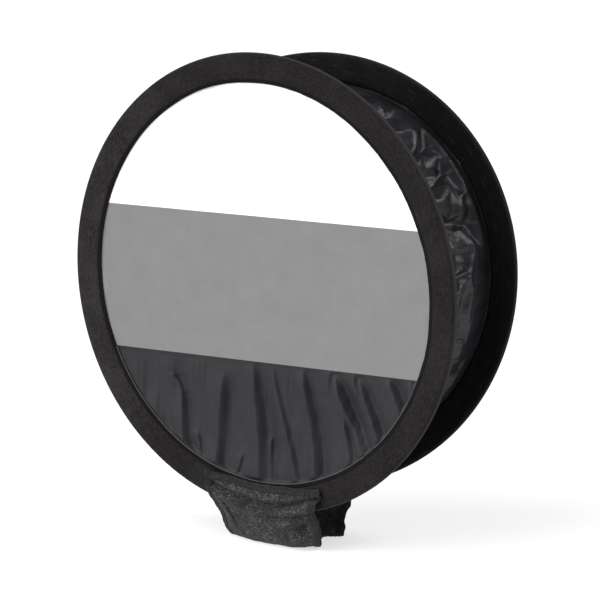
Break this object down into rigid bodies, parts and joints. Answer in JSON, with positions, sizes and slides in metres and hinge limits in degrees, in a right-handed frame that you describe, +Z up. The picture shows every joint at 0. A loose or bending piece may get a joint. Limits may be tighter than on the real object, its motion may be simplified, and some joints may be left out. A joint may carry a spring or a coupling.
{
  "type": "collapsible exposure target",
  "caption": "Drum-shaped pop-up exposure target: two sprung rims joined by a nylon tunnel, with a white, grey and black front and a fabric sling that it stands on.",
  "frame": {"origin": "on the floor below the middle of the drum, at the bottom centre of the box", "axes": "+Z up, the white, grey and black front faces -Y, and +X is to the right of someone who looks at the front"},
  "size_m": [0.3844, 0.105, 0.4177],
  "materials": {
    "binding": "charcoal elasticated knit binding, matt",
    "white_cloth": "matt white coated cloth",
    "grey_cloth": "matt neutral grey cloth",
    "black_nylon": "thin glossy black nylon, creased",
    "loop_fabric": "brushed loop fabric, dark grey, speckled",
    "hem_webbing": "folded hem with two rows of stitches",
    "tape": "woven seam tape",
    "piping": "thin grey piping",
    "thread": "dense thread",
    "spring_steel": "flat spring-steel band"
  },
  "bodies": {
    "front_frame": {"front_hoop": "spring_steel", "front_hoop_ferrule": "spring_steel", "front_rim_binding": "binding", "front_edge_tape": "tape", "white_panel": "white_cloth", "grey_panel": "grey_cloth", "black_trap_panel": "black_nylon", "white_grey_seam_tape": "tape", "grey_black_seam_tape": "tape", "trap_piping": "piping", "tunnel_wall": "black_nylon", "tunnel_join_tape": "tape", "sling_front_flap": "loop_fabric", "sling_base": "loop_fabric", "front_flap_top_hem": "hem_webbing", "front_flap_left_hem": "hem_webbing", "front_flap_right_hem": "hem_webbing", "base_left_hem": "hem_webbing", "base_right_hem": "hem_webbing", "front_flap_bartacks": "thread"},
    "rear_frame": {"rear_hoop": "spring_steel", "rear_hoop_ferrule": "spring_steel", "rear_rim_binding": "binding", "rear_edge_tape": "tape", "rear_panel": "black_nylon", "sling_rear_flap": "loop_fabric", "rear_flap_top_hem": "hem_webbing", "rear_flap_left_hem": "hem_webbing", "rear_flap_right_hem": "hem_webbing", "rear_flap_bartacks": "thread"}
  },
  "joints": [
    {"name": "drum_collapse", "type": "slide", "parent": "front_frame", "child": "rear_frame", "axis": [0, 1, 0], "range_m": [-0.078, 0], "deforming": ["tunnel_wall", "tunnel_join_tape", "sling_base", "base_left_hem", "base_right_hem"]}
  ]
}
